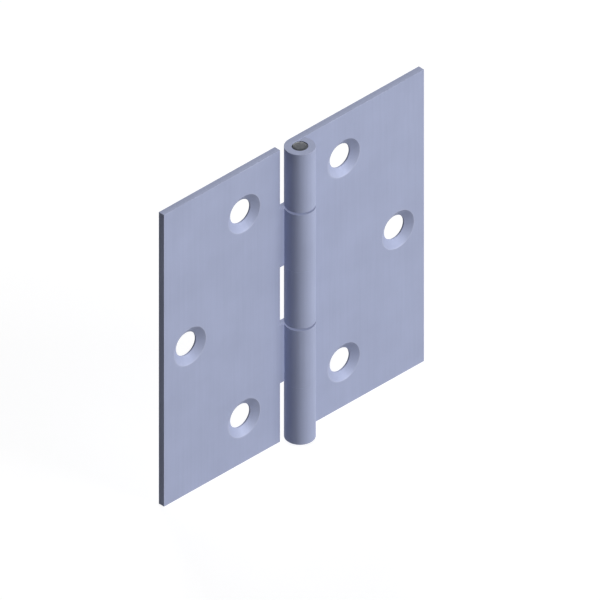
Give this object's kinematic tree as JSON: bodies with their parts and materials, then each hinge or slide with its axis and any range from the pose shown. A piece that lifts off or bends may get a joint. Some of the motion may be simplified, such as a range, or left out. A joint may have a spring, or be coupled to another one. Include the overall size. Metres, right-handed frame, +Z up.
{
  "type": "butt hinge",
  "caption": "Steel butt hinge with two sheet leaves, rolled knuckles on one pin and countersunk screw holes, swinging from shut to folded back.",
  "frame": {"origin": "on the pin's axis at half the leaves' height, with the hinge opened flat", "axes": "+X runs across the leaves towards the fixed leaf, +Y towards the backs of the leaves, which lie on the door and its frame, and +Z up along the pin"},
  "size_m": [0.076, 0.0068, 0.076],
  "materials": {
    "leaf_steel": "satin zinc-plated sheet with a pale blue cast",
    "pin_steel": "plain dark steel rod"
  },
  "bodies": {
    "fixed_side": {"fixed_leaf": "leaf_steel", "hinge_pin": "pin_steel"},
    "swinging_side": {"swinging_leaf": "leaf_steel"}
  },
  "joints": [
    {"name": "leaf_swing", "type": "hinge", "parent": "fixed_side", "child": "swinging_side", "pos_m": [0, 0, 0], "axis": [0, 0, 1], "range_deg": [-100, 185]}
  ]
}
